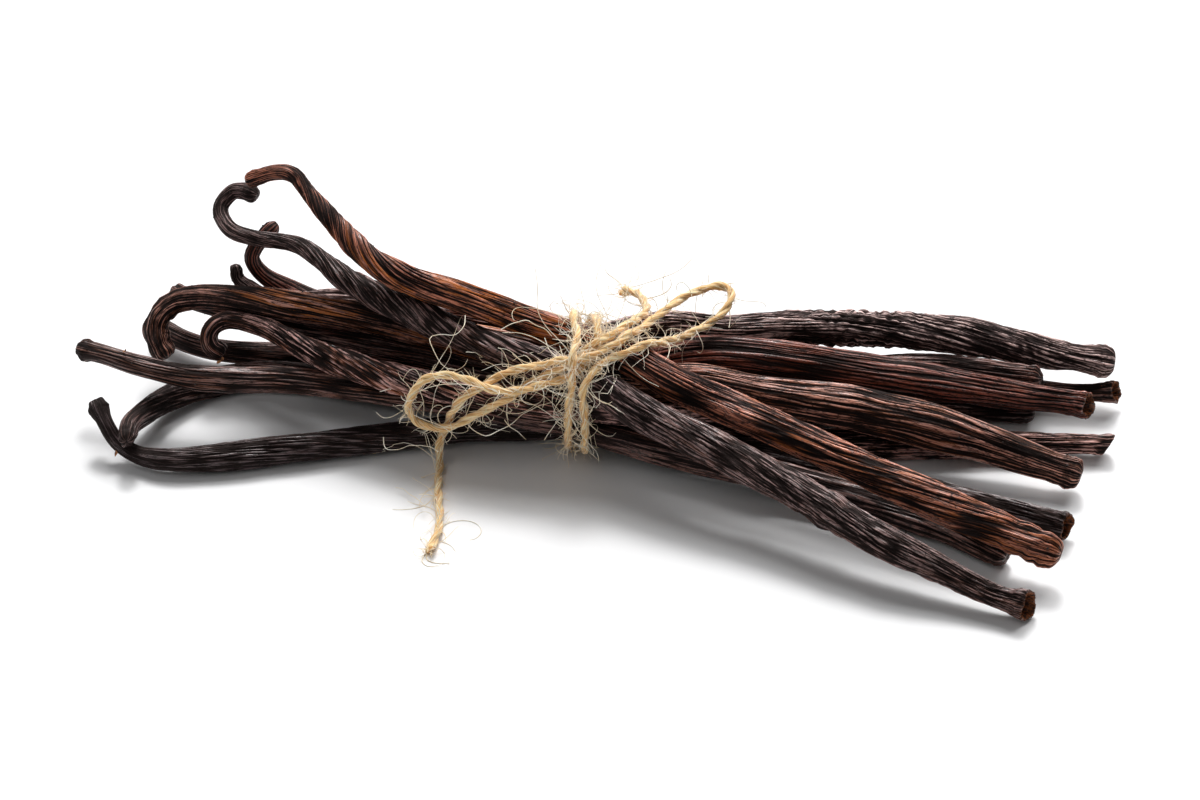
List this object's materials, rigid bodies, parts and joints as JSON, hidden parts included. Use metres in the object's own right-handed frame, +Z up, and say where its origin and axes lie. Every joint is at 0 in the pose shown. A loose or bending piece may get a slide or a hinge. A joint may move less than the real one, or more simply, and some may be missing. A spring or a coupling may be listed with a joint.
{
  "type": "vanilla pod bundle",
  "caption": "Bundle of long dark cured vanilla pods, tied round the middle with a bow of jute twine and lying flat.",
  "frame": {"origin": "on the floor under the middle of the pods' box, measured without the twine", "axes": "+X along the bundle towards the pods' cut blossom ends, +Y towards the back, +Z up"},
  "size_m": [0.1974, 0.0754, 0.0431],
  "materials": {
    "pod_skin": "satin",
    "jute": "matte"
  },
  "bodies": {
    "root": {"pod_01": "pod_skin", "pod_02": "pod_skin", "pod_03": "pod_skin", "pod_04": "pod_skin", "pod_05": "pod_skin", "pod_06": "pod_skin", "pod_07": "pod_skin", "pod_08": "pod_skin", "pod_09": "pod_skin", "pod_10": "pod_skin", "pod_11": "pod_skin", "twine": "jute"}
  },
  "joints": []
}
